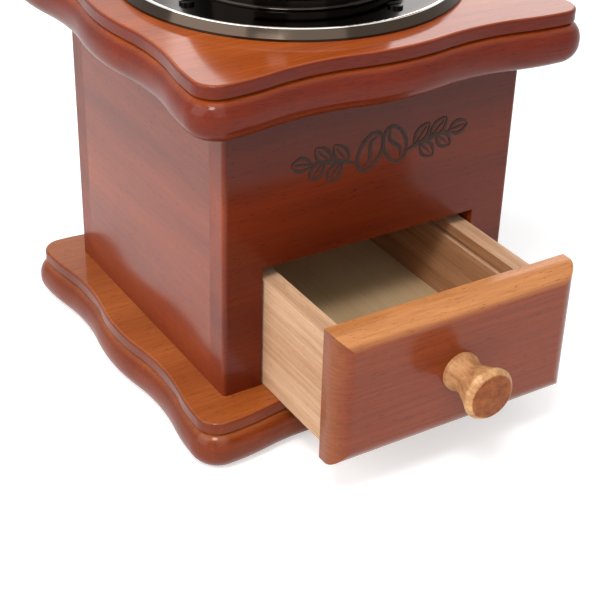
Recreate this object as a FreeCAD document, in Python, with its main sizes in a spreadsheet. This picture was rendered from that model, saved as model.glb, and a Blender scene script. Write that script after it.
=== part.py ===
import FreeCAD, Part
import math
import os
import re

# A hand-cranked box coffee mill: scalloped boards, panelled box, drawer, domed hopper, burrs and crank.
# Frame: millimetres, origin at the centre of the base underside, +Z up, the drawer faces -Y.

# Driving sizes
SIZES = {
    "body_width": 110,
    "body_height": 97.5,
    "panel_thick": 9,
    "panel_round": 1.5,
    "board_quirk": 4,
    "board_bull": 14,
    "bull_round": 6.5,
    "quirk_inset": 2.4,
    "quirk_round": 1,
    "base_overhang": 15.2,
    "top_overhang": 15.7,
    "board_corner": 10,
    "wave_depth": 2.8,
    "stile_width": 13.9,
    "opening_height": 44.5,
    "runner_height": 12,
    "drawer_play": 0.8,
    "drawer_lift": 0.3,
    "drawer_out": 42.2,
    "drawer_length": 99.5,
    "side_thick": 6.5,
    "side_height": 39.4,
    "groove_deep": 1.6,
    "groove_wide": 2.4,
    "groove_drop": 3.2,
    "ply_thick": 3,
    "ply_rise": 7.5,
    "ply_lap": 2.5,
    "fit_gap": 0.05,
    "front_lap": 3.9,
    "front_height": 47,
    "front_thick": 9,
    "front_round": 6,
    "knob_length": 16.5,
    "knob_radius": 8.8,
    "knob_neck": 5.7,
    "knob_foot": 6.6,
    "knob_drop": 1,
    "knob_screw_radius": 1.8,
    "screw_gap": 0.05,
    "brim_radius": 57.5,
    "brim_plate": 2.2,
    "rim_height": 3.7,
    "rim_wide": 4,
    "dome_radius": 37,
    "dome_wall": 1.2,
    "dome_skirt": 2,
    "dome_land": 12,
    "window_angle": 80,
    "window_rise": 5,
    "window_height": 22,
    "door_gap": 0.35,
    "door_wall": 1,
    "door_lap": 8,
    "door_foot": 1.5,
    "door_knob_radius": 3.6,
    "door_knob_length": 8,
    "door_knob_tilt": 24,
    "door_stem_radius": 1.3,
    "bush_radius": 7,
    "bush_flange": 11,
    "bush_flange_thick": 2,
    "bush_nut_thick": 4,
    "bush_nut_radius": 9.4,
    "shaft_radius": 4,
    "shaft_fit": 0.05,
    "flat_play": 0.05,
    "washer_radius": 8.5,
    "washer_thick": 1.2,
    "nut_radius": 13,
    "nut_thick": 7,
    "nut_notches": 16,
    "nut_notch_radius": 1.5,
    "crank_gap": 0.8,
    "arm_radius": 85,
    "arm_thick": 5,
    "arm_wide": 12,
    "arm_hub": 9,
    "arm_rise": 4,
    "square_side": 5.6,
    "stud_radius": 2.75,
    "acorn_flat": 10,
    "acorn_hex": 5,
    "acorn_height": 10,
    "grip_radius": 13,
    "grip_height": 30,
    "grip_play": 0.3,
    "pin_radius": 3,
    "pin_head": 5.2,
    "pin_collar": 1,
    "pin_head_thick": 2,
    "pin_sunk": 0.8,
    "throat_radius": 25.5,
    "housing_flange": 40,
    "housing_flange_thick": 4,
    "housing_wall": 3,
    "burr_radius": 24,
    "burr_height": 17,
    "burr_shoulder": 20.6,
    "burr_seat": 2,
    "burr_teeth": 14,
    "burr_gap": 0.8,
    "tooth_depth": 1.7,
    "ring_tip_bottom": 20,
    "ring_tip_top": 18.6,
    "cone_tip_top": 9,
    "cone_over": 3,
    "burr_twist": 24,
    "bridge_thick": 5,
    "bridge_wide": 14,
    "bridge_hub": 8,
    "bridge_hub_drop": 4,
    "bridge_bolt_reach": 31,
    "boss_radius": 4.5,
    "burr_pin_radius": 1.2,
    "hopper_screw_reach": 45.5,
    "hopper_screw_turn": 15,
    "housing_screw_reach": 35.5,
    "base_screw_reach": 30,
    "screw_radius": 1.5,
    "screw_head": 2.4,
    "screw_head_thick": 0.9,
    "screw_slot": 0.4,
    "screw_length": 12,
}

V = FreeCAD.Vector
doc = FreeCAD.newDocument("box_mill")
sheet = doc.addObject("Spreadsheet::Sheet", "Sizes")
for row, (alias, value) in enumerate(SIZES.items(), start=1):
    sheet.set("A%d" % row, alias)
    sheet.set("B%d" % row, str(value))
    sheet.setAlias("B%d" % row, alias)
doc.recompute()

# Levels and reaches that several pieces share
BASE_TOP = "(board_bull + board_quirk)"
BOX_TOP = "(board_bull + board_quirk + body_height)"
TOP_FACE = "(2 * board_bull + 2 * board_quirk + body_height)"
HALF = "(body_width / 2)"
INSIDE = "(body_width / 2 - panel_thick)"
OPENING = "(body_width / 2 - stile_width)"
DRAWER_FLOOR = "(%s + drawer_lift)" % BASE_TOP
DRAWER_HALF = "(body_width / 2 - stile_width - drawer_play)"
DRAWER_FRONT = "(0 - body_width / 2 - drawer_out)"
DRAWER_REAR = "(drawer_length - body_width / 2 - drawer_out)"
PLATE_TOP = "(%s + brim_plate)" % TOP_FACE
DOME_CENTRE = "(%s + brim_plate + dome_skirt)" % TOP_FACE
LAND_TOP = "(%s + sqrt(dome_radius ^ 2 - dome_land ^ 2))" % DOME_CENTRE
RING_TOP = "(%s + door_gap + door_wall)" % LAND_TOP
BUSH_TOP = "(%s + door_gap + bush_flange_thick)" % RING_TOP
WASHER_FOOT = "(%s + flat_play)" % BUSH_TOP
NUT_FOOT = "(%s + washer_thick + flat_play)" % WASHER_FOOT
ARM_FOOT = "(%s + nut_thick + crank_gap)" % NUT_FOOT
ARM_TOP = "(%s + arm_thick)" % ARM_FOOT
END_FOOT = "(%s + arm_rise)" % ARM_FOOT
END_TOP = "(%s + arm_thick)" % END_FOOT
GRIP_FOOT = "(%s + pin_collar + grip_play)" % END_TOP
GRIP_TOP = "(%s + grip_height)" % GRIP_FOOT
BURR_TOP = "(%s - housing_flange_thick - burr_seat)" % BOX_TOP
BURR_FOOT = "(%s - burr_height)" % BURR_TOP
BRIDGE_FOOT = "(%s - bridge_thick)" % BURR_FOOT
SHAFT_FOOT = "(%s - bridge_hub_drop)" % BRIDGE_FOOT
WORD = re.compile(r"[a-z][a-z_]*")
nodes = []


def formula(text):
    """Point every size name in the text at its cell."""
    return WORD.sub(lambda m: "Sizes." + m.group(0) if m.group(0) in SIZES else m.group(0), str(text))


def num(text):
    """The present value of an expression, for sketch points."""
    return float(sheet.evalExpression(formula(text)))


def bind(thing, prop, text):
    thing.setExpression(prop, formula(text))


def keep(thing, label):
    """Mark a document object as a piece of its own."""
    thing.Label = label
    nodes.append(thing)
    return thing


def cuboid(name, x, y, z):
    block = doc.addObject("Part::Box", name)
    for prop, axis, (low, high) in (("Length", "x", x), ("Width", "y", y), ("Height", "z", z)):
        bind(block, prop, "(%s) - (%s)" % (high, low))
        bind(block, "Placement.Base." + axis, low)
    return block


def rod(name, radius, low, high, x="0", y="0"):
    bar = doc.addObject("Part::Cylinder", name)
    bind(bar, "Radius", radius)
    bind(bar, "Height", "(%s) - (%s)" % (high, low))
    bind(bar, "Placement.Base.x", x)
    bind(bar, "Placement.Base.y", y)
    bind(bar, "Placement.Base.z", low)
    return bar


def sector(name, radius, low, high, width):
    """A slice of a cylinder, centred on the front."""
    slice_ = rod(name, radius, low, high)
    bind(slice_, "Angle", width)
    slice_.Placement.Rotation = FreeCAD.Rotation(V(0, 0, 1), -90 - num(width) / 2)
    return slice_


def fuse(name, *shapes):
    joined = doc.addObject("Part::MultiFuse", name)
    joined.Shapes = list(shapes)
    return joined


def cut(name, base, *tools):
    piece = doc.addObject("Part::Cut", name)
    piece.Base = base
    piece.Tool = tools[0] if len(tools) == 1 else fuse(name + "_tools", *tools)
    return piece


def common(name, first, second):
    shared = doc.addObject("Part::Common", name)
    shared.Base = first
    shared.Tool = second
    return shared


def draw(sketch, steps):
    """Draw a closed outline: two numbers make a line, four make an arc through its first point."""
    here = V(steps[0][0], steps[0][1], 0)
    for step in list(steps[1:]) + [steps[0][:2]]:
        there = V(step[-2], step[-1], 0)
        if here.distanceToPoint(there) < 1e-6:
            continue
        if len(step) == 4:
            sketch.addGeometry(Part.Arc(here, V(step[0], step[1], 0), there), False)
        else:
            sketch.addGeometry(Part.LineSegment(here, there), False)
        here = there


def plan(body, name, role, steps, offset=None):
    """A sketch on one of the body's own planes."""
    sketch = body.newObject("Sketcher::SketchObject", name)
    plane = [part for part in body.Origin.OriginFeatures if part.Role == role][0]
    sketch.AttachmentSupport = [(plane, "")]
    sketch.MapMode = "FlatFace"
    if offset is not None:
        bind(sketch, "AttachmentOffset.Base.z", offset)
    draw(sketch, steps)
    return sketch


def pad(body, name, sketch, length):
    grown = body.newObject("PartDesign::Pad", name)
    grown.Profile = sketch
    bind(grown, "Length", length)
    return grown


def soften(body, name, feature, radius, wanted):
    """Round the edges of a feature that the test picks."""
    doc.recompute()
    picked = []
    for index, edge in enumerate(feature.Shape.Edges, start=1):
        if wanted(edge.BoundBox):
            picked.append("Edge%d" % index)
    rounded = body.newObject("PartDesign::Fillet", name)
    rounded.Base = (feature, picked)
    bind(rounded, "Radius", radius)
    doc.recompute()
    return rounded


def turned(name, steps):
    """A solid of revolution about Z from radius and height points."""
    body = doc.addObject("PartDesign::Body", name)
    sketch = plan(body, name + "_profile", "XZ_Plane", steps)
    spun = body.newObject("PartDesign::Revolution", name + "_turning")
    spun.Profile = sketch
    spun.ReferenceAxis = (sketch, ["V_Axis"])
    spun.Angle = 360
    return body


def prism(name, steps, height, foot):
    body = doc.addObject("PartDesign::Body", name)
    pad(body, name + "_pad", plan(body, name + "_plan", "XY_Plane", steps), height)
    bind(body, "Placement.Base.z", foot)
    return body


def screw(name, x, y, seat, length, headed_up):
    """A wood screw with a pan head: the shank runs away from the head."""
    way = -1 if headed_up else 1
    tip = "(%s + %d * %s)" % (seat, way, length)
    crown = "(%s - %d * screw_head_thick)" % (seat, way)
    low, high = (tip, seat) if headed_up else (seat, tip)
    head_low, head_high = (seat, crown) if headed_up else (crown, seat)
    shank = rod(name + "_shank", "screw_radius", low, high, x, y)
    head = rod(name + "_head", "screw_head", head_low, head_high, x, y)
    bed = "(%s - screw_slot)" % crown if headed_up else "(%s + screw_slot)" % crown
    slot_low, slot_high = (bed, crown) if headed_up else (crown, bed)
    slot = cuboid(name + "_slot", ("%s - screw_head" % x, "%s + screw_head" % x),
                  ("%s - screw_slot" % y, "%s + screw_slot" % y), (slot_low, slot_high))
    hole = rod(name + "_hole", "screw_radius + screw_gap", low, high, x, y)
    return cut(name, fuse(name + "_blank", shank, head), slot), hole


def around(reach, turn, count):
    """Bolt-circle positions as expressions."""
    spots = []
    for index in range(count):
        angle = "(%s + %g) * 1deg" % (turn, 360.0 * index / count)
        spots.append(("%s * cos(%s)" % (reach, angle), "%s * sin(%s)" % (reach, angle)))
    return spots


# Scalloped boards
def scallop(half, corner, depth):
    """Wavy square: a crest at each middle, two troughs a side and round corners."""
    run = (half - corner) / 2
    bend = (run ** 2 / 4 + depth ** 2 / 4) / depth
    lean = math.asin(run / 2 / bend) / 2
    near = (half - bend * (1 - math.cos(lean)), 2 * run - bend * math.sin(lean))
    mid = half - depth / 2
    tip = 2 * run + corner * math.sqrt(0.5)
    side = [(mid, -run / 2), (half, 0, mid, run / 2), (half - depth, run, mid, 1.5 * run),
            (near[0], near[1], half, 2 * run), (tip, tip, 2 * run, half),
            (near[1], near[0], 1.5 * run, mid), (run, half - depth, run / 2, mid)]
    steps = [side[0]]
    for quarter in range(4):
        c, s = ((1, 0), (0, 1), (-1, 0), (0, -1))[quarter]
        for step in side[1:]:
            turned_step = []
            for k in range(0, len(step), 2):
                turned_step += [c * step[k] - s * step[k + 1], s * step[k] + c * step[k + 1]]
            steps.append(tuple(turned_step))
    return steps


def board(name, foot, overhang):
    body = doc.addObject("PartDesign::Body", name)
    size = num("%s + %s" % (HALF, overhang))
    corner = num("board_corner")
    depth = num("wave_depth")
    inset = num("quirk_inset")
    lower = pad(body, name + "_slab", plan(body, name + "_edge", "XY_Plane", scallop(size, corner, depth)),
                "board_bull")
    soften(body, name + "_bullnose", lower, "bull_round", lambda box: box.ZLength < 1e-6)
    upper = pad(body, name + "_step", plan(body, name + "_step_edge", "XY_Plane",
                scallop(size - inset, corner - inset, depth), "board_bull"), "board_quirk")
    top = num("board_bull + board_quirk")
    soften(body, name + "_lip", upper, "quirk_round",
           lambda box: box.ZLength < 1e-6 and abs(box.ZMax - top) < 1e-6)
    bind(body, "Placement.Base.z", foot)
    return body


base_blank = board("base_blank", "0", "base_overhang")
top_blank = board("top_blank", BOX_TOP, "top_overhang")

# Screws that hold the base to the side panels
base_screw_parts = []
base_holes = []
for index, (way, along) in enumerate(((-1, -1), (1, -1), (1, 1), (-1, 1))):
    x = "(%d * (%s - panel_thick / 2))" % (way, HALF)
    y = "(%d * base_screw_reach)" % along
    body, hole = screw("base_screw_%d" % index, x, y, "(2 * screw_head_thick)",
                       "(%s + screw_length)" % BASE_TOP, False)
    recess = rod("base_recess_%d" % index, "screw_head + screw_gap", "0", "(2 * screw_head_thick)", x, y)
    base_screw_parts.append(body)
    base_holes += [hole, recess]
keep(fuse("base_screw_set", *base_screw_parts), "base_screws")
keep(cut("base_board_cut", base_blank, *base_holes), "base_board")

# Box panels: front and back overlap the side panels
h, w, r = num(HALF), num("panel_thick"), num("panel_round")
b = r * (1 - math.sqrt(0.5))
panel_plan = [(-h, -h + w), (-h, -h + r), (-h + b, -h + b, -h + r, -h), (h - r, -h),
              (h - b, -h + b, h, -h + r), (h, -h + w)]
front_blank = prism("front_blank", panel_plan, "body_height", BASE_TOP)
opening = cuboid("opening", ("0 - %s" % OPENING, OPENING), ("0 - body_width", "0"),
                 (BASE_TOP, "%s + opening_height" % BASE_TOP))
keep(cut("front_panel_cut", front_blank, opening), "front_panel")
back_plan = [tuple(-part for part in step) for step in panel_plan]
keep(prism("back_panel_body", back_plan, "body_height", BASE_TOP), "back_panel")
for name, way in (("left_panel", -1), ("right_panel", 1)):
    ends = (("0 - %s" % HALF, "0 - %s" % INSIDE) if way < 0 else (INSIDE, HALF))
    blank = cuboid(name + "_blank", ends, ("0 - %s" % INSIDE, INSIDE), (BASE_TOP, BOX_TOP))
    keep(cut(name + "_cut", blank, *base_holes), name)

# Drawer runners beside the opening
for name, way in (("drawer_runner_left", -1), ("drawer_runner_right", 1)):
    ends = (("0 - %s" % INSIDE, "0 - %s" % OPENING) if way < 0 else (OPENING, INSIDE))
    keep(cuboid(name + "_strip", ends, ("0 - %s" % INSIDE, INSIDE),
                (BASE_TOP, "%s + runner_height" % BASE_TOP)), name)

# Drawer box
SIDE_TOP = "(%s + side_height)" % DRAWER_FLOOR
PLY_FOOT = "(%s + ply_rise)" % DRAWER_FLOOR
DRAWER_INSIDE = "(%s - side_thick)" % DRAWER_HALF
ply_slot = cuboid("ply_slot", ("0 - %s - ply_lap" % DRAWER_INSIDE, "%s + ply_lap" % DRAWER_INSIDE),
                  (DRAWER_FRONT, "%s + 1" % DRAWER_REAR),
                  ("%s - fit_gap" % PLY_FOOT, "%s + ply_thick + fit_gap" % PLY_FOOT))
for name, way in (("drawer_side_left", -1), ("drawer_side_right", 1)):
    outer, inner, deep = DRAWER_HALF, DRAWER_INSIDE, "%s + groove_deep" % DRAWER_INSIDE
    ends = ("0 - %s" % outer, "0 - %s" % inner) if way < 0 else (inner, outer)
    cove = ("0 - (%s)" % deep, "0 - %s" % inner) if way < 0 else (inner, deep)
    blank = cuboid(name + "_blank", ends, (DRAWER_FRONT, DRAWER_REAR), (DRAWER_FLOOR, SIDE_TOP))
    groove = cuboid(name + "_groove", cove, (DRAWER_FRONT, DRAWER_REAR),
                    ("%s - groove_drop - groove_wide" % SIDE_TOP, "%s - groove_drop" % SIDE_TOP))
    keep(cut(name + "_cut", blank, groove, ply_slot), name)
keep(cuboid("drawer_back_block", ("0 - %s" % DRAWER_INSIDE, DRAWER_INSIDE),
            ("%s - side_thick" % DRAWER_REAR, DRAWER_REAR),
            ("%s + ply_thick + fit_gap" % PLY_FOOT, SIDE_TOP)), "drawer_back")
keep(cuboid("drawer_bottom_sheet", ("0 - %s - ply_lap + fit_gap" % DRAWER_INSIDE,
                                    "%s + ply_lap - fit_gap" % DRAWER_INSIDE),
            (DRAWER_FRONT, DRAWER_REAR), (PLY_FOOT, "%s + ply_thick" % PLY_FOOT)), "drawer_bottom")

# Drawer front with rounded edges, its knob and the screw between them
front_body = doc.addObject("PartDesign::Body", "drawer_front_blank")
wide, near = num("%s + front_lap" % OPENING), num(DRAWER_FRONT)
face = near - num("front_thick")
front_slab = pad(front_body, "front_slab", plan(front_body, "front_plan", "XY_Plane",
                 [(-wide, near), (-wide, face), (wide, face), (wide, near)]), "front_height")
soften(front_body, "front_edges", front_slab, "front_round",
       lambda box: abs(box.YMax - face) < 1e-6)
bind(front_body, "Placement.Base.z", DRAWER_FLOOR)
KNOB_LEVEL = "(%s + front_height / 2 - knob_drop)" % DRAWER_FLOOR


def along_front(thing, y):
    """Lay a turned piece down so that it points out of the front."""
    thing.Placement.Rotation = FreeCAD.Rotation(V(1, 0, 0), 90)
    bind(thing, "Placement.Base.x", "0")
    bind(thing, "Placement.Base.y", y)
    bind(thing, "Placement.Base.z", KNOB_LEVEL)
    return thing


screw_hole = rod("knob_screw_hole", "knob_screw_radius + screw_gap", "0", "knob_length * 0.6 + front_thick")
along_front(screw_hole, DRAWER_FRONT)
keep(cut("drawer_front_cut", front_body, screw_hole), "drawer_front")
long, head, neck, foot = num("knob_length"), num("knob_radius"), num("knob_neck"), num("knob_foot")
bore = num("knob_screw_radius + screw_gap")
knob = turned("drawer_knob_body", [
    (bore, 0), (foot, 0), (foot, 0.08 * long), (neck, 0.24 * long, neck + 0.2, 0.4 * long),
    (neck + 0.4 * (head - neck), 0.58 * long, head - 0.5, 0.78 * long),
    (head, 0.85 * long, head - 0.6, 0.92 * long), (head - 1.1, 0.96 * long, head - 2.2, 0.98 * long),
    (0, long), (0, 0.6 * long), (bore, 0.6 * long)])
keep(along_front(knob, "%s - front_thick" % DRAWER_FRONT), "drawer_knob")
pin = num("knob_screw_radius")
deep = num("front_thick + knob_length * 0.55")
cap = num("knob_screw_radius * 2.2")
knob_screw = turned("drawer_knob_screw_body", [(0, -2.2), (cap - 1, -2.2), (cap - 0.3, -1.9, cap, -1.2),
                                               (cap, 0), (pin, 0), (pin, deep), (0, deep)])
keep(along_front(knob_screw, DRAWER_FRONT), "drawer_knob_screw")

# Hopper: round brim with a raised rim and a dome, spun in one piece
rim, lip, plate = num("brim_radius"), num("rim_wide"), num(PLATE_TOP)
seat, crest = num(TOP_FACE), num(TOP_FACE + " + rim_height")
dome, wall, centre, land = num("dome_radius"), num("dome_wall"), num(DOME_CENTRE), num(LAND_TOP)
inner = dome - wall
bush = num("bush_radius + fit_gap")
half_turn = math.sqrt(0.5)
land_in = math.sqrt(inner ** 2 - (land - wall - centre) ** 2)
lift = (centre - plate) * 0.5
hopper_blank = turned("hopper_blank", [
    (inner, seat), (rim, seat), (rim, seat + 0.8),
    (rim - 0.25 * lip, seat + 0.62 * (crest - seat), rim - 0.45 * lip, crest - 0.15),
    (rim - 0.62 * lip, crest, rim - 0.78 * lip, crest - 0.25), (rim - lip, plate),
    (dome + lift, plate), (dome + 0.3 * lift, plate + 0.3 * lift, dome, plate + lift), (dome, centre),
    (dome * half_turn, centre + dome * half_turn, num("dome_land"), land), (bush, land),
    (bush, land - wall), (land_in, land - wall),
    (inner * half_turn, centre + inner * half_turn, inner, centre)])
window = sector("hopper_window", "dome_radius * 1.5", "%s + window_rise" % DOME_CENTRE,
                "%s + window_rise + window_height" % DOME_CENTRE, "window_angle")
hopper_screw_parts = []
hopper_holes = []
for index, (x, y) in enumerate(around("hopper_screw_reach", "hopper_screw_turn", 4)):
    body, hole = screw("hopper_screw_%d" % index, x, y, PLATE_TOP, "screw_length", True)
    hopper_screw_parts.append(body)
    hopper_holes.append(hole)
keep(fuse("hopper_screw_set", *hopper_screw_parts), "hopper_screws")
keep(cut("hopper_cut", hopper_blank, window, *hopper_holes), "hopper")

# Revolving hopper door outside the dome, with a ring round the bush
gap, skin = num("door_gap"), num("door_wall")
low_r, high_r = dome + gap, dome + gap + skin
foot_z = centre + num("door_foot")
ring_low, ring_top = land + gap, land + gap + skin
low_land = math.sqrt(low_r ** 2 - (ring_low - centre) ** 2)
high_land = math.sqrt(high_r ** 2 - (ring_top - centre) ** 2)
ring_bore = num("bush_radius + door_gap")
door_shell = turned("door_shell", [
    (math.sqrt(low_r ** 2 - (foot_z - centre) ** 2), foot_z),
    (math.sqrt(high_r ** 2 - (foot_z - centre) ** 2), foot_z),
    (high_r * half_turn, centre + high_r * half_turn, high_land, ring_top), (ring_bore, ring_top),
    (ring_bore, ring_low), (low_land, ring_low),
    (low_r * half_turn, centre + low_r * half_turn,
     math.sqrt(low_r ** 2 - (foot_z - centre) ** 2), foot_z)])
door_slice = sector("door_slice", "dome_radius * 1.5", "%s - 1" % DOME_CENTRE, "%s + 1" % RING_TOP,
                    "window_angle + 2 * door_lap")
door_ring = rod("door_ring", "dome_land", "%s - door_wall" % RING_TOP, RING_TOP)
door_ring_bore = rod("door_ring_bore", "bush_radius + door_gap", "%s - 2 * door_wall" % RING_TOP,
                     "%s + door_wall" % RING_TOP)
door_leaf = fuse("door_leaf", common("door_sector", door_shell, door_slice),
                 cut("door_collar", door_ring, door_ring_bore))

# Door knob on its stem, pointing straight out of the leaf
tilt = num("door_knob_tilt")
stem, size, reach = num("door_stem_radius"), num("door_knob_radius"), num("door_knob_length")
stem_foot = low_r + num("fit_gap")
door_knob = turned("door_knob_body", [
    (0, stem_foot), (stem, stem_foot), (stem, high_r), (0.62 * size, high_r),
    (0.62 * size, high_r + 0.1 * reach),
    (0.45 * size, high_r + 0.3 * reach, 0.55 * size, high_r + 0.5 * reach),
    (size, high_r + 0.7 * reach, 0.72 * size, high_r + 0.92 * reach), (0, high_r + reach)])
door_hole = rod("door_knob_hole", "door_stem_radius + screw_gap", "0", "dome_radius * 1.2")
for thing in (door_knob, door_hole):
    thing.Placement.Rotation = FreeCAD.Rotation(V(1, 0, 0), 90 - tilt)
    bind(thing, "Placement.Base.z", DOME_CENTRE)
keep(door_knob, "door_knob")
keep(cut("hopper_door_cut", door_leaf, door_hole), "hopper_door")

# Bush through the dome land, its flange above the door ring and its nut inside
bore, body_r, flange = num("shaft_radius + shaft_fit"), num("bush_radius"), num("bush_flange")
bush_top, bush_seat = num(BUSH_TOP), num("%s - bush_flange_thick" % BUSH_TOP)
bush_foot = land - wall - num("bush_nut_thick") - 1
keep(turned("dome_bush_body", [
    (bore, bush_foot), (body_r, bush_foot), (body_r, bush_seat), (flange, bush_seat),
    (flange, bush_top - 0.6), (flange - 0.6, bush_top), (bore, bush_top)]), "dome_bush")


def hexagon(radius):
    angles = [math.radians(60 * k) for k in range(6)]
    return [(radius * math.cos(angle), radius * math.sin(angle)) for angle in angles]


nut_block = prism("bush_nut_blank", hexagon(num("bush_nut_radius")), "bush_nut_thick",
                  "%s - dome_wall - bush_nut_thick" % LAND_TOP)
nut_bore = rod("bush_nut_bore", "bush_radius + fit_gap", "0", GRIP_TOP)
keep(cut("bush_nut_cut", nut_block, nut_bore), "bush_nut")

# Thrust washer and knurled adjusting nut
low, high = num(WASHER_FOOT), num("%s + washer_thick" % WASHER_FOOT)
keep(turned("thrust_washer_body", [(bore, low), (num("washer_radius"), low), (num("washer_radius"), high),
                                   (bore, high)]), "thrust_washer")
low, high, size = num(NUT_FOOT), num("%s + nut_thick" % NUT_FOOT), num("nut_radius")
nut_blank = turned("adjusting_nut_blank", [(bore, low), (size - 3, low), (size, low + 1.2), (size, high - 1),
                                           (size - 1, high), (bore, high)])
notch_spots = around("(nut_radius + nut_notch_radius * 0.4)", "0", int(num("nut_notches")))
notches = [rod("nut_notch_%d" % k, "nut_notch_radius", NUT_FOOT, ARM_FOOT, x, y)
           for k, (x, y) in enumerate(notch_spots)]
keep(cut("adjusting_nut_cut", nut_blank, *notches), "adjusting_nut")

# Shaft with a square and a stud for the crank
pin_hole = rod("burr_pin_hole", "burr_pin_radius + screw_gap", "0 - 2 * burr_radius", "2 * burr_radius")
PIN_LEVEL = "(%s + burr_height * 0.6)" % BURR_FOOT
pin_hole.Placement = FreeCAD.Placement(V(-2 * num("burr_radius"), 0, 0), FreeCAD.Rotation(V(0, 1, 0), 90))
bind(pin_hole, "Placement.Base.x", "0 - 2 * burr_radius")
bind(pin_hole, "Placement.Base.z", PIN_LEVEL)
shaft_r = num("shaft_radius")
low, high = num(SHAFT_FOOT), num(ARM_FOOT)
shaft_bar = turned("shaft_bar", [(0, low), (shaft_r - 0.6, low), (shaft_r, low + 0.6), (shaft_r, high),
                                 (0, high)])
side = "(square_side / 2)"
shaft_square = cuboid("shaft_square", ("0 - " + side, side), ("0 - " + side, side),
                      ("%s - 1" % ARM_FOOT, ARM_TOP))
shaft_stud = rod("shaft_stud", "stud_radius", "%s - 1" % ARM_TOP, "%s + acorn_height * 0.6" % ARM_TOP)
keep(cut("shaft_cut", fuse("shaft_blank", shaft_bar, shaft_square, shaft_stud), pin_hole), "shaft")

# Crank arm: a bent strip trimmed to a tapered plan
low, thick, rise = num(ARM_FOOT), num("arm_thick"), num("arm_rise")
reach, hub, wide = num("arm_radius"), num("arm_hub"), num("arm_wide / 2")
bend_in, bend_out, over = 0.28 * reach, 0.45 * reach, 2 * hub
strip = doc.addObject("PartDesign::Body", "arm_strip")
strip_pad = pad(strip, "arm_strip_pad", plan(strip, "arm_strip_side", "XZ_Plane", [
    (-over, low), (bend_in, low), (bend_out, low + rise), (reach + over, low + rise),
    (reach + over, low + rise + thick), (bend_out - 0.3, low + rise + thick), (bend_in - 0.3, low + thick),
    (-over, low + thick)]), "4 * arm_hub")
strip_pad.Midplane = True
tilt = math.asin((hub - wide) / reach)
arm_plan = [(hub * math.sin(tilt), hub * math.cos(tilt)),
            (-hub, 0, hub * math.sin(tilt), -hub * math.cos(tilt)),
            (reach + wide * math.sin(tilt), -wide * math.cos(tilt)),
            (reach + wide, 0, reach + wide * math.sin(tilt), wide * math.cos(tilt))]
arm_outline = prism("arm_outline", arm_plan, "4 * arm_thick + arm_rise", "%s - arm_thick" % ARM_FOOT)
hub_hole = "(square_side / 2 + fit_gap)"
arm_square = cuboid("arm_square", ("0 - " + hub_hole, hub_hole), ("0 - " + hub_hole, hub_hole),
                    ("%s - 1" % ARM_FOOT, "%s + 1" % ARM_TOP))
arm_eye = rod("arm_eye", "pin_radius + fit_gap", "%s - 2" % END_FOOT, "%s + 2" % END_TOP, "arm_radius")
keep(cut("crank_arm_cut", common("arm_blank", strip, arm_outline), arm_square, arm_eye), "crank_arm")

# Acorn nut over the stud
hex_r = num("acorn_flat") / math.sqrt(3)
flat_r = num("acorn_flat / 2")
low, high, top = num(ARM_TOP), num("%s + acorn_hex" % ARM_TOP), num("%s + acorn_height" % ARM_TOP)
acorn_hex = prism("acorn_hex_blank", hexagon(hex_r), "acorn_hex", ARM_TOP)
acorn_cap = turned("acorn_cap", [(0, high - 1), (flat_r - 0.4, high - 1), (flat_r - 0.4, high),
                                 ((flat_r - 0.4) * 0.74, high + (top - high) * 0.72, 0, top)])
acorn_bore = rod("acorn_bore", "stud_radius + fit_gap", "%s - 1" % ARM_TOP,
                 "%s + acorn_height * 0.65" % ARM_TOP)
keep(cut("crank_nut_cut", fuse("crank_nut_blank", acorn_hex, acorn_cap), acorn_bore), "crank_nut")

# Crank grip on a riveted spindle
pin, head = num("pin_radius"), num("pin_head")
end_low, end_top, grip_low, grip_top = num(END_FOOT), num(END_TOP), num(GRIP_FOOT), num(GRIP_TOP)
play, cap = num("grip_play"), num("pin_head_thick")
cap_top = grip_top - num("pin_sunk")
spindle = turned("knob_spindle_body", [
    (0, end_low - cap), (0.7 * head, end_low - cap), (head, end_low - 0.6 * cap, head, end_low),
    (pin, end_low), (pin, end_top), (head, end_top), (head, grip_low - play), (pin, grip_low - play),
    (pin, cap_top - cap), (head, cap_top - cap), (head, cap_top - 0.4 * cap), (0.7 * head, cap_top),
    (0, cap_top)])
bind(spindle, "Placement.Base.x", "arm_radius")
keep(spindle, "knob_spindle")
tall, big = num("grip_height"), num("grip_radius")
well, well_floor = head + play, cap_top - cap - play
grip = turned("crank_knob_body", [
    (pin + play, grip_low), (0.56 * big, grip_low), (0.6 * big, grip_low + 0.5),
    (0.5 * big, grip_low + 0.14 * tall, 0.6 * big, grip_low + 0.3 * tall),
    (0.96 * big, grip_low + 0.52 * tall, big, grip_low + 0.68 * tall),
    (0.93 * big, grip_low + 0.9 * tall, 0.62 * big, grip_top), (well, grip_top), (well, well_floor),
    (pin + play, well_floor)])
bind(grip, "Placement.Base.x", "arm_radius")
keep(grip, "crank_knob")

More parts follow.
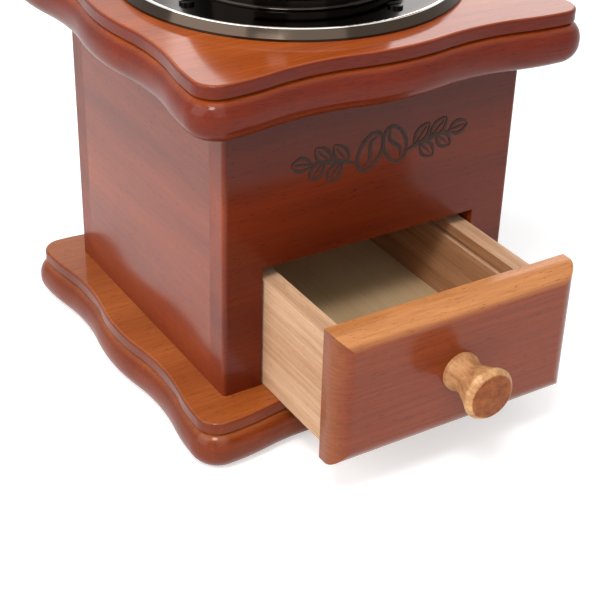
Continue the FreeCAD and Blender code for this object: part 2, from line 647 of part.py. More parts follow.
# Burr housing under the top board, with bosses for the bridge
flange, pocket = num("housing_flange"), num("burr_radius + fit_gap")
sleeve = num("burr_radius + housing_wall")
roof, floor = num(BOX_TOP), num("%s - housing_flange_thick" % BOX_TOP)
burr_low, burr_top = num(BURR_FOOT), num(BURR_TOP)
housing_turning = turned("housing_turning", [
    (pocket, burr_low), (sleeve, burr_low), (sleeve, floor), (flange, floor), (flange, roof),
    (num("throat_radius"), roof), (num("burr_shoulder"), floor), (num("burr_shoulder"), burr_top),
    (pocket, burr_top)])
bosses = [rod("bridge_boss_%d" % k, "boss_radius", BURR_FOOT, "%s - housing_flange_thick / 2" % BOX_TOP,
              "(%d * bridge_bolt_reach)" % way) for k, way in enumerate((-1, 1))]
housing_screw_parts = []
housing_holes = []
for index, (x, y) in enumerate(around("housing_screw_reach", "45", 4)):
    body, hole = screw("housing_screw_%d" % index, x, y, "(%s - housing_flange_thick)" % BOX_TOP,
                       "(housing_flange_thick + screw_length)", False)
    housing_screw_parts.append(body)
    housing_holes.append(hole)
bridge_screw_parts = []
bridge_holes = []
for index, way in enumerate((-1, 1)):
    body, hole = screw("bridge_screw_%d" % index, "(%d * bridge_bolt_reach)" % way, "0", BRIDGE_FOOT,
                       "(bridge_thick + screw_length * 0.8)", False)
    bridge_screw_parts.append(body)
    bridge_holes.append(hole)
pocket_core = rod("pocket_core", "burr_radius + fit_gap", BURR_FOOT, BURR_TOP)
keep(fuse("housing_screw_set", *housing_screw_parts), "housing_screws")
keep(fuse("bridge_screw_set", *bridge_screw_parts), "bridge_screws")
keep(cut("burr_housing_cut", fuse("housing_blank", housing_turning, *bosses), pocket_core,
         *(housing_holes + bridge_holes)), "burr_housing")

# Top board with its throat and pilot holes
throat = rod("throat", "throat_radius", "%s - 1" % BOX_TOP, "%s + 1" % TOP_FACE)
keep(cut("top_board_cut", top_blank, throat, *(hopper_holes + housing_holes)), "top_board")

# Bridge that carries the foot of the shaft
strap_reach = "(bridge_bolt_reach + boss_radius)"
strap = cuboid("bridge_strap", ("0 - " + strap_reach, strap_reach),
               ("0 - bridge_wide / 2", "bridge_wide / 2"), (BRIDGE_FOOT, BURR_FOOT))
bridge_hub = rod("bridge_hub_boss", "bridge_hub", SHAFT_FOOT, BURR_FOOT)
bridge_bore = rod("bridge_bore", "shaft_radius + shaft_fit", "%s - 1" % SHAFT_FOOT, "%s + 1" % BURR_FOOT)
bridge_blank = fuse("bridge_blank", strap, bridge_hub)
keep(cut("burr_bridge_cut", bridge_blank, bridge_bore, *bridge_holes), "burr_bridge")


# Burrs: slanted teeth lofted between two toothed outlines
def star(name, tip, root, level, turn):
    """One toothed outline at a level, turned so that the teeth slant."""
    count = int(num("burr_teeth"))
    sketch = doc.addObject("Sketcher::SketchObject", name)
    sketch.Placement = FreeCAD.Placement(V(0, 0, level), FreeCAD.Rotation())
    points = []
    for k in range(count):
        for share, radius in ((0, tip), (0.62, root)):
            angle = math.radians(turn + 360.0 * (k + share) / count)
            points.append((radius * math.cos(angle), radius * math.sin(angle)))
    draw(sketch, points)
    return sketch


def toothed(name, low, high):
    solid = doc.addObject("Part::Loft", name)
    solid.Sections = [low, high]
    solid.Solid = True
    solid.Ruled = True
    return solid


depth, twist = num("tooth_depth"), num("burr_twist")
ring_low, ring_high = num("ring_tip_bottom"), num("ring_tip_top")
ring_core = toothed("ring_core", star("ring_star_low", ring_low, ring_low + depth, burr_low - 0.01, 0),
                    star("ring_star_high", ring_high, ring_high + depth, burr_top + 0.01, -twist))
ring_blank = rod("ring_blank", "burr_radius", BURR_FOOT, BURR_TOP)
keep(cut("outer_burr_cut", ring_blank, ring_core), "outer_burr")
cone_tip, cone_top = ring_low - num("burr_gap"), num("cone_tip_top")
cone_low = burr_low + num("crank_gap")
cone_core = toothed("cone_core", star("cone_star_low", cone_tip, cone_tip - depth, cone_low, 0),
                    star("cone_star_high", cone_top, cone_top - depth, burr_top + num("cone_over"), twist))
cone_bore = rod("cone_bore", "shaft_radius + fit_gap", SHAFT_FOOT, BUSH_TOP)
keep(cut("inner_burr_cut", cone_core, cone_bore, pin_hole), "inner_burr")
burr_pin = rod("burr_pin_rod", "burr_pin_radius", "0", "shaft_radius * 4")
burr_pin.Placement.Rotation = FreeCAD.Rotation(V(0, 1, 0), 90)
bind(burr_pin, "Placement.Base.x", "0 - shaft_radius * 2")
bind(burr_pin, "Placement.Base.z", PIN_LEVEL)
keep(burr_pin, "burr_pin")

# Check every piece and write it out
doc.recompute()
for thing in doc.Objects:
    if "Invalid" in thing.State or "Error" in thing.State:
        raise RuntimeError("not computed: " + thing.Label)
os.makedirs("parts", exist_ok=True)
for node in nodes:
    if node.Shape.isNull() or not node.Shape.isValid() or node.Shape.Volume <= 0:
        raise RuntimeError("bad shape: " + node.Label)
    node.Shape.exportStep("parts/%s.step" % node.Label)
    print("%-20s %10.1f mm3 %d" % (node.Label, node.Shape.Volume, len(node.Shape.Solids)))
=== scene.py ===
import math

import bpy
from mathutils import Matrix, Vector


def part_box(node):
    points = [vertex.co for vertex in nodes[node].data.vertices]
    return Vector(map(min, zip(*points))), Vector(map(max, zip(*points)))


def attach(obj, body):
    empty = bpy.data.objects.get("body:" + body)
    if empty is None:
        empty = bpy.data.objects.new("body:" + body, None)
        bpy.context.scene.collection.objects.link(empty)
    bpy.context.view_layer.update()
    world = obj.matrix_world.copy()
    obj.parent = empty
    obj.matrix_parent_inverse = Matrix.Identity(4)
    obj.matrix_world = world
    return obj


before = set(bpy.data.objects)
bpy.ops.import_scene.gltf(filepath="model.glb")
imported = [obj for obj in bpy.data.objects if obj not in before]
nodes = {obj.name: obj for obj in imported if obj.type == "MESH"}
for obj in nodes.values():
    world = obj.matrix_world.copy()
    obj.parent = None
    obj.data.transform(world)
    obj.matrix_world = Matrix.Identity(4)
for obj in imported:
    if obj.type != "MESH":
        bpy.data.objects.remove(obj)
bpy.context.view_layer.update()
scene = bpy.context.scene
scene.view_settings.view_transform = "Standard"
MM = 0.001
BLACK = (0, 0, 0)
WHITE = (1, 1, 1)

# The screen's colour curve
CURVE_KNEE = 0.04045
CURVE_SLOPE = 12.92
CURVE_OFFSET = 0.055
CURVE_POWER = 2.4

# Places of the colour sockets on a Mix node
MIX_FIRST = 6
MIX_SECOND = 7
MIX_RESULT = 2


# Colours
def linear(red, green, blue):
    """A screen colour, 0 to 255, as scene light."""
    light = []
    for level in (red, green, blue):
        share = level / 255
        if share <= CURVE_KNEE:
            light.append(share / CURVE_SLOPE)
        else:
            light.append(((share + CURVE_OFFSET) / (1 + CURVE_OFFSET)) ** CURVE_POWER)
    return tuple(light)


def opaque(colour):
    """A colour with full alpha."""
    return (*colour, 1.0)


# Node helpers
def new_material(name):
    """A material with one Principled shader: the material, its node tree and the shader's node."""
    material = bpy.data.materials.new(name)
    material.use_nodes = True
    tree = material.node_tree
    tree.nodes.clear()
    output = tree.nodes.new("ShaderNodeOutputMaterial")
    shader = tree.nodes.new("ShaderNodeBsdfPrincipled")
    tree.links.new(shader.outputs["BSDF"], output.inputs["Surface"])
    return material, tree, shader


def add(tree, kind, **values):
    """A node with its properties set by name."""
    node = tree.nodes.new(kind)
    for key, value in values.items():
        setattr(node, key, value)
    return node


def object_coords(tree):
    """The object's own coordinates."""
    return add(tree, "ShaderNodeTexCoord").outputs["Object"]


def stretched_noise(tree, coords, scale, detail=3, rough=0.55, shift=(0, 0, 0)):
    """Noise over stretched coordinates; scale is features per metre on each axis."""
    mapping = add(tree, "ShaderNodeMapping")
    mapping.inputs["Scale"].default_value = scale
    mapping.inputs["Location"].default_value = shift
    tree.links.new(coords, mapping.inputs["Vector"])
    noise = add(tree, "ShaderNodeTexNoise")
    noise.inputs["Scale"].default_value = 1.0
    noise.inputs["Detail"].default_value = detail
    noise.inputs["Roughness"].default_value = rough
    tree.links.new(mapping.outputs["Vector"], noise.inputs["Vector"])
    return noise.outputs["Fac"]


def ramp(tree, value, span, first, second):
    """A ramp from one colour to another over a span of the value."""
    node = add(tree, "ShaderNodeValToRGB")
    for element, position, colour in zip(node.color_ramp.elements, span, (first, second)):
        element.position = position
        element.color = opaque(colour)
    tree.links.new(value, node.inputs["Fac"])
    return node.outputs["Color"]


def mixed(tree, blend, factor, first, second):
    """Two colours mixed; the factor is a number or a socket, and each colour a tuple or a socket."""
    node = add(tree, "ShaderNodeMix", data_type="RGBA", blend_type=blend)
    if isinstance(factor, (int, float)):
        node.inputs["Factor"].default_value = factor
    else:
        tree.links.new(factor, node.inputs["Factor"])
    for place, value in ((MIX_FIRST, first), (MIX_SECOND, second)):
        if isinstance(value, tuple):
            node.inputs[place].default_value = opaque(value)
        else:
            tree.links.new(value, node.inputs[place])
    return node.outputs[MIX_RESULT]


def mapped(tree, value, source=(0, 1), target=(0, 1)):
    """A value carried from one range to another, and held inside it."""
    node = add(tree, "ShaderNodeMapRange")
    for name, limits in (("From", source), ("To", target)):
        node.inputs[name + " Min"].default_value = limits[0]
        node.inputs[name + " Max"].default_value = limits[1]
    tree.links.new(value, node.inputs["Value"])
    return node.outputs["Result"]


def joined(tree, operation, first, second):
    """Two values put together by a maths node."""
    node = add(tree, "ShaderNodeMath", operation=operation)
    tree.links.new(first, node.inputs[0])
    tree.links.new(second, node.inputs[1])
    return node.outputs["Value"]


def length(tree, vector):
    """The length of a vector."""
    node = add(tree, "ShaderNodeVectorMath", operation="LENGTH")
    tree.links.new(vector, node.inputs[0])
    return node.outputs["Value"]


def facing(tree, way, span):
    """A mask that rises over a span as the surface turns to look one way."""
    share = add(tree, "ShaderNodeVectorMath", operation="DOT_PRODUCT")
    share.inputs[1].default_value = way
    tree.links.new(add(tree, "ShaderNodeNewGeometry").outputs["Normal"], share.inputs[0])
    return ramp(tree, share.outputs["Value"], span, BLACK, WHITE)


def seen_directly(tree):
    """One for camera, glossy and transmitted rays, else zero."""
    path = add(tree, "ShaderNodeLightPath")
    total = path.outputs["Is Camera Ray"]
    for ray in ("Is Glossy Ray", "Is Transmission Ray"):
        total = joined(tree, "MAXIMUM", total, path.outputs[ray])
    return total


def placed(name, data):
    """An object with this data, in the scene."""
    item = bpy.data.objects.new(name, data)
    scene.collection.objects.link(item)
    return item


# Wood grain: features per metre along and across the fibres, and the spans of noise that show
BANDS_ALONG = 5
BANDS_ACROSS = 48
STREAKS_ACROSS = 240
FIBRES_ALONG = 40
FIBRES_ACROSS = 1300
FLECKS_ALONG = 360
FLECKS_ACROSS = 2300
BAND_SPAN = (0.28, 0.72)
FIBRE_SPAN = (0.25, 0.68)
FLECK_SPAN = (0.65, 0.76)
FIBRE_DARK = (0.62, 0.56, 0.52)
FIBRE_LIGHT = (1.06, 1.06, 1.06)
STRONG_GRAIN = 0.85
BEECH_GRAIN = 0.7
SOFT_GRAIN = 0.65
FAINT_GRAIN = 0.25
TICKS = (1, 0.25, 1)
BUMP_STRENGTH = 0.1
BUMP_DISTANCE = 0.3 * MM

# Wood surface: bare wood, and the lacquer's weight and haze
WOOD_ROUGHNESS = 0.55
WOOD_SPECULAR = 0.12
LACQUER_IOR = 1.35
SATIN = 0.17
GLOSSY = 0.1
NO_COAT = 0.0
KNOB_COAT = 0.3
THIN_COAT = 0.5
FRONT_COAT = 0.6
SIDE_COAT = 0.76
FULL_COAT = 0.95


def along(axis, long_way, cross_way):
    """Stretch factors with the long way on one axis."""
    return tuple(long_way if name == axis else cross_way for name in "XYZ")


def wood(name, axis, tones, fleck, coat, shift=(0, 0, 0), grain=STRONG_GRAIN, haze=SATIN,
         bands_across=BANDS_ACROSS, squeeze=(1, 1, 1), faced=None, marks=(), edge_coat=None):
    """Straight-grained wood: broad bands, fine fibres and short dark flecks along one axis.
    With faced = (way, span, tone), surfaces that don't look that way take the tone.
    With each (way, span, tone) of marks, surfaces that look that way take the tone.
    With edge_coat, the lacquer is that thin where the faced tone is."""
    material, tree, shader = new_material(name)
    coords = object_coords(tree)
    band_scale = along(axis, BANDS_ALONG, bands_across)
    plain_fibres = along(axis, FIBRES_ALONG, FIBRES_ACROSS)
    fibre_scale = tuple(scale * share for scale, share in zip(plain_fibres, squeeze))
    fleck_scale = along(axis, FLECKS_ALONG, FLECKS_ACROSS)
    bands = stretched_noise(tree, coords, band_scale, detail=4, shift=shift)
    fibres = stretched_noise(tree, coords, fibre_scale, detail=4, rough=0.7, shift=shift)
    flecks = stretched_noise(tree, coords, fleck_scale, detail=1, rough=0.4, shift=shift)
    base = ramp(tree, bands, BAND_SPAN, *tones)
    toned = mixed(tree, "MULTIPLY", grain, base, ramp(tree, fibres, FIBRE_SPAN, FIBRE_DARK, FIBRE_LIGHT))
    flecked = mixed(tree, "MULTIPLY", 1.0, toned, fleck)
    colour = mixed(tree, "MIX", ramp(tree, flecks, FLECK_SPAN, BLACK, WHITE), toned, flecked)
    if faced is not None:
        way, span, tone = faced
        mask = facing(tree, way, span)
        colour = mixed(tree, "MIX", mask, mixed(tree, "MULTIPLY", 1.0, colour, tone), colour)
    for way, span, tone in marks:
        marked = mixed(tree, "MULTIPLY", 1.0, colour, tone)
        colour = mixed(tree, "MIX", facing(tree, way, span), colour, marked)
    tree.links.new(colour, shader.inputs["Base Color"])
    shader.inputs["Roughness"].default_value = WOOD_ROUGHNESS
    shader.inputs["Specular IOR Level"].default_value = WOOD_SPECULAR
    shader.inputs["Coat Weight"].default_value = coat
    if edge_coat is not None:
        tree.links.new(mapped(tree, mask, target=(edge_coat, coat)), shader.inputs["Coat Weight"])
    shader.inputs["Coat Roughness"].default_value = haze
    shader.inputs["Coat IOR"].default_value = LACQUER_IOR
    bump = add(tree, "ShaderNodeBump")
    bump.inputs["Strength"].default_value = BUMP_STRENGTH
    bump.inputs["Distance"].default_value = BUMP_DISTANCE
    tree.links.new(fibres, bump.inputs["Height"])
    tree.links.new(bump.outputs["Normal"], shader.inputs["Normal"])
    return material


# Metal and soot: features per metre, and the span of noise that shows
CLOUD_SCALE = (160, 160, 160)
CLOUD_SPAN = (0.3, 0.7)
CLOUD_SHADE = 0.85
SOOT_SCALE = (900, 900, 900)
SOOT_DARK = linear(28, 14, 8)
SOOT_LIGHT = linear(58, 28, 14)
SOOT_ROUGHNESS = 0.75

# The brim's rim: its wall starts at a radius, and its crest carries a painted highlight of near-white
# metal
RIM_HEIGHT = 3.7 * MM
WALL_SPAN = (50 * MM, 52 * MM)
CREST_FOOT = 0.3 * MM
CREST_FULL = 0.2 * MM
RIM_WALL = linear(68, 58, 50)
# The crest's near-white colour below is a painted highlight.
CREST_HIGHLIGHT = linear(240, 236, 230)
LEVEL = (1, 1, 0)


def metal(name, colour, roughness, unevenness=0.05):
    """Metal with a faint uneven polish."""
    material, tree, shader = new_material(name)
    cloud = stretched_noise(tree, object_coords(tree), CLOUD_SCALE, rough=0.6)
    shaded = tuple(CLOUD_SHADE * part for part in colour)
    tree.links.new(ramp(tree, cloud, CLOUD_SPAN, shaded, colour), shader.inputs["Base Color"])
    shader.inputs["Metallic"].default_value = 1.0
    polish = mapped(tree, cloud, target=(roughness - unevenness, roughness + unevenness))
    tree.links.new(polish, shader.inputs["Roughness"])
    return material


def highlighted_rim(name, plain):
    """A copy of a plain metal with a paler wall round the brim and a painted highlight of near-white
    metal along its crest.
    """
    material = plain.copy()
    material.name = name
    tree = material.node_tree
    shader = [node for node in tree.nodes if node.type == "BSDF_PRINCIPLED"][0]
    coords = object_coords(tree)
    place = add(tree, "ShaderNodeSeparateXYZ")
    tree.links.new(coords, place.inputs["Vector"])
    flat = add(tree, "ShaderNodeVectorMath", operation="MULTIPLY")
    flat.inputs[1].default_value = LEVEL
    tree.links.new(coords, flat.inputs[0])
    brim_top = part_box("top_board")[1].z + RIM_HEIGHT
    outer = mapped(tree, length(tree, flat.outputs["Vector"]), source=WALL_SPAN)
    high = mapped(tree, place.outputs["Z"], source=(brim_top - CREST_FOOT, brim_top - CREST_FULL))
    dark = shader.inputs["Base Color"].links[0].from_socket
    wall = mixed(tree, "MIX", outer, dark, RIM_WALL)
    # The crest's near-white metal is a painted highlight.
    crest = mixed(tree, "MIX", joined(tree, "MULTIPLY", outer, high), wall, CREST_HIGHLIGHT)
    tree.links.new(crest, shader.inputs["Base Color"])
    return material


def burnt_wood(name):
    """Charred wood, dark and uneven."""
    material, tree, shader = new_material(name)
    soot = stretched_noise(tree, object_coords(tree), SOOT_SCALE)
    tree.links.new(ramp(tree, soot, CLOUD_SPAN, SOOT_DARK, SOOT_LIGHT), shader.inputs["Base Color"])
    shader.inputs["Roughness"].default_value = SOOT_ROUGHNESS
    return material


# Wood tones: dark and light bands, and what flecks, edges, faces and ends multiply them by
STAIN = (linear(106, 35, 8), linear(148, 60, 17))
# The front and back panels' tones are a darker copy of the side panels' stain: partly deeper stain,
# partly painted shade where those panels face away from the light.
DEEP_STAIN_AND_SHADE = (linear(82, 23, 4), linear(117, 41, 9))
BOARD = (linear(148, 74, 27), linear(177, 98, 45))
# The top board's tones are darker and redder than the base board's: painted shade and painted reflection
# from the hopper above it.
SHADED_TOP = (linear(150, 61, 9), linear(184, 87, 19))
# The drawer front's tones stay on the band that looks up, which is lighter: partly worn thin stain,
# partly painted light from above.
WORN_AND_LIT = (linear(196, 124, 70), linear(220, 154, 96))
BEECH = (linear(196, 151, 115), linear(229, 191, 156))
KNOB = (linear(122, 54, 18), linear(190, 114, 58))
PLY = (linear(192, 160, 119), linear(208, 178, 137))
STAIN_FLECK = (0.6, 0.5, 0.46)
BEECH_FLECK = (0.86, 0.78, 0.72)
PLY_FLECK = (0.95, 0.95, 0.92)
# The front and back panels' ends are lighter: partly end grain, partly a painted highlight along the
# rounded corners.
PANEL_END_GRAIN_AND_HIGHLIGHT = (1.55, 1.75, 1.75)
BOARD_EDGE = (0.5, 0.29, 0.14)
TOP_EDGE = (0.39, 0.19, 0.08)
FRONT_FACE = (0.4, 0.17, 0.12)
# The drawer front's ends are lighter: partly end grain, partly painted light.
FRONT_END_GRAIN_AND_LIGHT = (1.1, 1.65, 1.8)
BEECH_SHADED = (0.72, 0.57, 0.45)
KNOB_SIDE = (1.7, 3.15, 6.0)

# Where those tones lie: the way a surface looks, the span of the turn, and the tone
UP = (0, 0, 1)
OUT = (0, -1, 0)
SIDES = ((-1, 0, 0), (1, 0, 0))
END_SPAN = (0.3, 0.9)
BOARD_SPAN = (0.6, 0.99)
FRONT_SPAN = (0.1, 0.6)
SHADE_SPAN = (0.4, 0.9)
KNOB_SPAN = (0.82, 0.95)
PANEL_ENDS_AND_HIGHLIGHT = [(way, END_SPAN, PANEL_END_GRAIN_AND_HIGHLIGHT) for way in SIDES]
FRONT_ENDS_AND_LIGHT = [(way, END_SPAN, FRONT_END_GRAIN_AND_LIGHT) for way in SIDES]
BASE_FLAT = (UP, BOARD_SPAN, BOARD_EDGE)
TOP_FLAT = (UP, BOARD_SPAN, TOP_EDGE)
WORN_AND_LIT_TOP = (UP, FRONT_SPAN, FRONT_FACE)
SIDE_TOP = (UP, SHADE_SPAN, BEECH_SHADED)
KNOB_END = (OUT, KNOB_SPAN, KNOB_SIDE)
GRIP_END = (UP, KNOB_SPAN, KNOB_SIDE)

# Materials: each shift takes the grain from another place of the noise
# Front and back panels: darker stain with painted shade, and lighter ends with a painted highlight.
panel_x = wood("stained_wood_x", "X", DEEP_STAIN_AND_SHADE, STAIN_FLECK, FRONT_COAT, grain=SOFT_GRAIN, marks=PANEL_ENDS_AND_HIGHLIGHT)
panel_y = wood("stained_wood_y", "Y", STAIN, STAIN_FLECK, SIDE_COAT, shift=(3, 1, 2), grain=SOFT_GRAIN)
base_x = wood("stained_board_x", "X", BOARD, STAIN_FLECK, FULL_COAT, shift=(5, 2, 7), haze=GLOSSY,
              faced=BASE_FLAT, edge_coat=THIN_COAT)
top_x = wood("stained_top_x", "X", SHADED_TOP, STAIN_FLECK, FULL_COAT, shift=(1, 4, 3), haze=GLOSSY,
             faced=TOP_FLAT, edge_coat=THIN_COAT)
# The drawer front: its top band and its ends are lighter, partly wear and end grain, partly painted
# light.
front_x = wood("stained_front_x", "X", WORN_AND_LIT, STAIN_FLECK, SIDE_COAT, shift=(2, 6, 1), squeeze=TICKS,
               faced=WORN_AND_LIT_TOP, marks=FRONT_ENDS_AND_LIGHT)
beech_y = wood("raw_beech_y", "Y", BEECH, BEECH_FLECK, NO_COAT, grain=BEECH_GRAIN,
               bands_across=STREAKS_ACROSS)
# The right drawer side: its faces that don't look up take painted shade, darker and browner; its top
# edges stay light.
shaded_beech = wood("shaded_beech_y", "Y", BEECH, BEECH_FLECK, NO_COAT, shift=(4, 2, 6),
               bands_across=STREAKS_ACROSS, faced=SIDE_TOP)
beech_x = wood("raw_beech_x", "X", BEECH, BEECH_FLECK, NO_COAT, shift=(1, 5, 2), grain=BEECH_GRAIN,
               bands_across=STREAKS_ACROSS)
knob_y = wood("knob_beech_y", "Y", KNOB, BEECH_FLECK, KNOB_COAT, bands_across=STREAKS_ACROSS,
              faced=KNOB_END)
knob_z = wood("knob_beech_z", "Z", KNOB, BEECH_FLECK, KNOB_COAT, bands_across=STREAKS_ACROSS,
              faced=GRIP_END)
ply = wood("drawer_board", "Y", PLY, PLY_FLECK, NO_COAT, grain=FAINT_GRAIN)
nickel = metal("black_nickel", linear(47, 41, 37), roughness=0.12, unevenness=0.03)
rim = highlighted_rim("nickel_painted_crest", nickel)
zinc = metal("zinc_steel", linear(196, 196, 198), roughness=0.25)
iron = metal("cast_iron", linear(92, 92, 94), roughness=0.5, unevenness=0.1)
brass = metal("turned_brass", linear(214, 176, 104), roughness=0.2)
burnt = burnt_wood("burnt_wood")

FINISHES = {
    panel_x: ("front_panel", "back_panel"),
    panel_y: ("left_panel", "right_panel"),
    base_x: ("base_board",),
    top_x: ("top_board",),
    front_x: ("drawer_front",),
    beech_y: ("drawer_side_left", "drawer_runner_left", "drawer_runner_right"),
    shaded_beech: ("drawer_side_right",),
    beech_x: ("drawer_back",),
    knob_y: ("drawer_knob",),
    knob_z: ("crank_knob",),
    ply: ("drawer_bottom",),
    rim: ("hopper",),
    nickel: ("hopper_door", "door_knob", "crank_arm", "crank_nut", "hopper_screws"),
    zinc: ("shaft", "burr_pin", "knob_spindle", "housing_screws", "bridge_screws",
           "base_screws", "drawer_knob_screw", "bush_nut"),
    iron: ("inner_burr", "outer_burr", "burr_housing", "burr_bridge"),
    brass: ("dome_bush", "thrust_washer", "adjusting_nut"),
}
for finish, names in FINISHES.items():
    for name in names:
        for slot in nodes[name].material_slots:
            slot.material = finish

# A burnt sprig with coffee beans on the front panel: closed flat strokes let into the wood
panel_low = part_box("front_panel")[0]
PANEL_FACE = panel_low.y
SPRIG_CENTRE = Vector((2 * MM, 0, panel_low.z + 77 * MM))
STROKE_PROUD = 0.12 * MM
STROKE_SUNK = 0.25 * MM
STROKE_LAYER = 0.003 * MM
TAPER_START = 0.08
TAPER_RUN = 0.84

# The sprig's drawing, in millimetres from its centre; a lean is in degrees from the outward way
EDGE_PEN = 1.2
CREASE_PEN = 1.4
RIB_PEN = 0.8
STEM_PEN = 1.6
BEANS = (((-4.4, -0.8), 62), ((5.0, -0.2), 112))
BEAN_LONG = 6.6
BEAN_SHORT = 4.2
BEAN_STEPS = 28
CREASE_REACH = 0.82
CREASE_BOW = 0.3
CREASE_STEPS = 16
STEM_START = 9.4
STEM_RUN = 17.1
STEM_FOOT = -3.5
STEM_RISE = 3.2
STEM_STEPS = 14
LEAVES = (
    {"reach": 12.5, "rise": -2.7, "lean": 52, "size": 9.0},
    {"reach": 15.0, "rise": -2.2, "lean": -46, "size": 7.6},
    {"reach": 19.0, "rise": -1.2, "lean": 46, "size": 8.4},
    {"reach": 21.5, "rise": -0.8, "lean": -40, "size": 7.0},
    {"reach": 26.0, "rise": -0.3, "lean": 10, "size": 7.6},
)
LEAF_BULGE = 2.2
LEAF_ROUND = 0.8
LEAF_STEPS = 12
RIB_REACH = 0.85
strokes = {"verts": [], "faces": [], "proud": STROKE_PROUD}


def stroke(points, width, taper=True):
    """One pen stroke through (x, z) points, a layer above the last one and thinner at its ends."""
    count = len(points)
    start = len(strokes["verts"])
    proud = strokes["proud"]
    strokes["proud"] += STROKE_LAYER
    for index, (x, z) in enumerate(points):
        before = Vector(points[max(index - 1, 0)])
        after = Vector(points[min(index + 1, count - 1)])
        run = (after - before).normalized()
        half = width / 2
        if taper:
            half *= math.sin(math.pi * (TAPER_START + TAPER_RUN * index / (count - 1)))
        for side, depth in ((half, -proud), (-half, -proud), (-half, STROKE_SUNK), (half, STROKE_SUNK)):
            strokes["verts"].append((SPRIG_CENTRE.x + (x - run.y * side) * MM, PANEL_FACE + depth,
                                     SPRIG_CENTRE.z + (z + run.x * side) * MM))
    for index in range(count - 1):
        for corner in range(4):
            low = start + 4 * index + corner
            next_low = start + 4 * index + (corner + 1) % 4
            strokes["faces"].append((low, next_low, next_low + 4, low + 4))
    last = start + 4 * (count - 1)
    strokes["faces"] += [(start + 3, start + 2, start + 1, start), (last, last + 1, last + 2, last + 3)]


def turned(x, z, angle, place):
    """A point turned by an angle and carried to a place."""
    across = math.cos(angle)
    rise = math.sin(angle)
    return (place[0] + across * x - rise * z, place[1] + rise * x + across * z)


def bean(place, angle):
    """A bean: an oval and the crease along it."""
    ring = []
    for step in range(BEAN_STEPS + 1):
        around = 2 * math.pi * step / BEAN_STEPS
        ring.append(turned(BEAN_LONG * math.cos(around), BEAN_SHORT * math.sin(around), angle, place))
    stroke(ring, EDGE_PEN, taper=False)
    crease = []
    for step in range(CREASE_STEPS + 1):
        share = 2 * step / CREASE_STEPS - 1
        bow = CREASE_BOW * BEAN_SHORT * math.sin(math.pi * share)
        crease.append(turned(BEAN_LONG * CREASE_REACH * share, bow, angle, place))
    stroke(crease, CREASE_PEN)


def stem(way):
    """A stem that starts beside the beans and rises outwards."""
    points = []
    for step in range(STEM_STEPS + 1):
        share = step / STEM_STEPS
        rise = STEM_FOOT + STEM_RISE * math.sin(math.pi / 2 * share)
        points.append((way * (STEM_START + STEM_RUN * share), rise))
    stroke(points, STEM_PEN)


def leaf(place, angle, size):
    """A leaf: two bowed edges and a midrib."""
    shares = [step / LEAF_STEPS for step in range(LEAF_STEPS + 1)]
    for side in (-1, 1):
        edge = []
        for share in shares:
            bow = side * LEAF_BULGE * math.sin(math.pi * share) ** LEAF_ROUND
            edge.append(turned(size * share, bow, angle, place))
        stroke(edge, EDGE_PEN)
    stroke([turned(RIB_REACH * size * share, 0, angle, place) for share in shares], RIB_PEN)


for place, tilt in BEANS:
    bean(place, math.radians(tilt))
for way in (-1, 1):
    stem(way)
    for row in LEAVES:
        heading = row["lean"] if way > 0 else 180 - row["lean"]
        leaf((way * row["reach"], row["rise"]), math.radians(heading), row["size"])
sprig_mesh = bpy.data.meshes.new("bean_sprig")
sprig_mesh.from_pydata(strokes["verts"], [], strokes["faces"])
sprig_mesh.materials.append(burnt)
sprig = placed("bean_sprig", sprig_mesh)
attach(sprig, "housing")

# Floor: pale, with the object's shadow, and white to the camera and in reflections
FLOOR = 4.0
FLOOR_GREY = (0.8, 0.8, 0.8)
FLOOR_ROUGHNESS = 0.9
GLOW_REACH = (0.4, 2.0)
GLOW_STRENGTH = (0.5, 0.8)


def pale_floor(name):
    """Pale grey that glows white to direct rays, more so farther from the object."""
    material, tree, shader = new_material(name)
    shader.inputs["Base Color"].default_value = opaque(FLOOR_GREY)
    shader.inputs["Roughness"].default_value = FLOOR_ROUGHNESS
    shader.inputs["Emission Color"].default_value = opaque(WHITE)
    far = mapped(tree, length(tree, object_coords(tree)), source=GLOW_REACH, target=GLOW_STRENGTH)
    tree.links.new(joined(tree, "MULTIPLY", seen_directly(tree), far), shader.inputs["Emission Strength"])
    return material


floor_mesh = bpy.data.meshes.new("floor")
floor_mesh.from_pydata([(-FLOOR, -FLOOR, 0), (FLOOR, -FLOOR, 0), (FLOOR, FLOOR, 0), (-FLOOR, FLOOR, 0)],
                       [], [(0, 1, 2, 3)])
floor_mesh.materials.append(pale_floor("pale_floor"))
floor = placed("floor", floor_mesh)

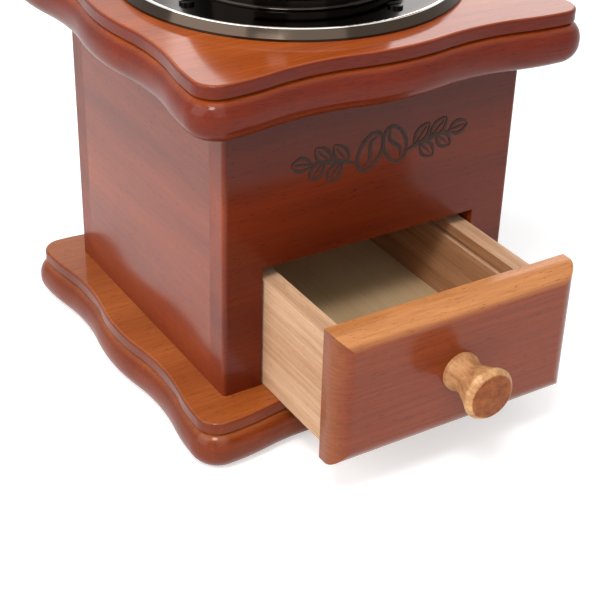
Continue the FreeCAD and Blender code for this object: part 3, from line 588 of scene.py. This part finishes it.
# World: white behind the object and in reflections, and plain soft light on it
WORLD_LIGHT = 0.26
WORLD_WHITE = 1.0
world = bpy.data.worlds.new("studio")
scene.world = world
world.use_nodes = True
world_tree = world.node_tree
world_tree.nodes.clear()
background = add(world_tree, "ShaderNodeBackground")
background.inputs["Color"].default_value = opaque(WHITE)
strength = mapped(world_tree, seen_directly(world_tree), target=(WORLD_LIGHT, WORLD_WHITE))
world_tree.links.new(strength, background.inputs["Strength"])
world_out = add(world_tree, "ShaderNodeOutputWorld")
world_tree.links.new(background.outputs["Background"], world_out.inputs["Surface"])

# Soft boxes, all aimed at the middle of the mill
AIM = Vector((0, 0, 0.08))


def soft_box(name, place, size, power):
    """A square lamp at a place, with its side in metres and its power in watts."""
    lamp = bpy.data.lights.new(name, "AREA")
    lamp.shape = "SQUARE"
    lamp.size = size
    lamp.energy = power
    holder = placed(name, lamp)
    holder.location = place
    holder.rotation_euler = (AIM - Vector(place)).to_track_quat("-Z", "Y").to_euler()


soft_box("key", (-1.3, 0.0, 0.8), size=1.2, power=13.0)
soft_box("overhead", (-0.2, -0.45, 1.5), size=1.1, power=6.0)
soft_box("fill", (-0.3, -1.3, 0.9), size=1.0, power=4.6)
soft_box("spot", (-0.6, -0.6, 1.25), size=0.36, power=8.5)
soft_box("back", (0.95, 1.1, 0.62), size=0.8, power=3.6)

# Camera, resected from the photograph
FOCAL_PIXELS = 1443.7
FRAME_PIXELS = 600
SENSOR = 36.0
CLIP_START = 0.01
CAMERA_EYE = Vector((-239.3, -390.7, 292.2)) * MM
AZIMUTH = math.radians(-32.33)
ELEVATION = math.radians(31.71)
ROLL = math.radians(1.74)
back = Vector((math.sin(AZIMUTH) * math.cos(ELEVATION), -math.cos(AZIMUTH) * math.cos(ELEVATION),
               math.sin(ELEVATION)))
right = Vector(UP).cross(back).normalized()
above = back.cross(right)
rolled_right = math.cos(ROLL) * right + math.sin(ROLL) * above
rolled_up = -math.sin(ROLL) * right + math.cos(ROLL) * above
lens = bpy.data.cameras.new("photo_camera")
lens.sensor_width = SENSOR
lens.lens = SENSOR * FOCAL_PIXELS / FRAME_PIXELS
lens.clip_start = CLIP_START
camera = placed("photo_camera", lens)
camera.matrix_world = Matrix.Translation(CAMERA_EYE) @ Matrix(
    (rolled_right, rolled_up, back)).transposed().to_4x4()
scene.camera = camera
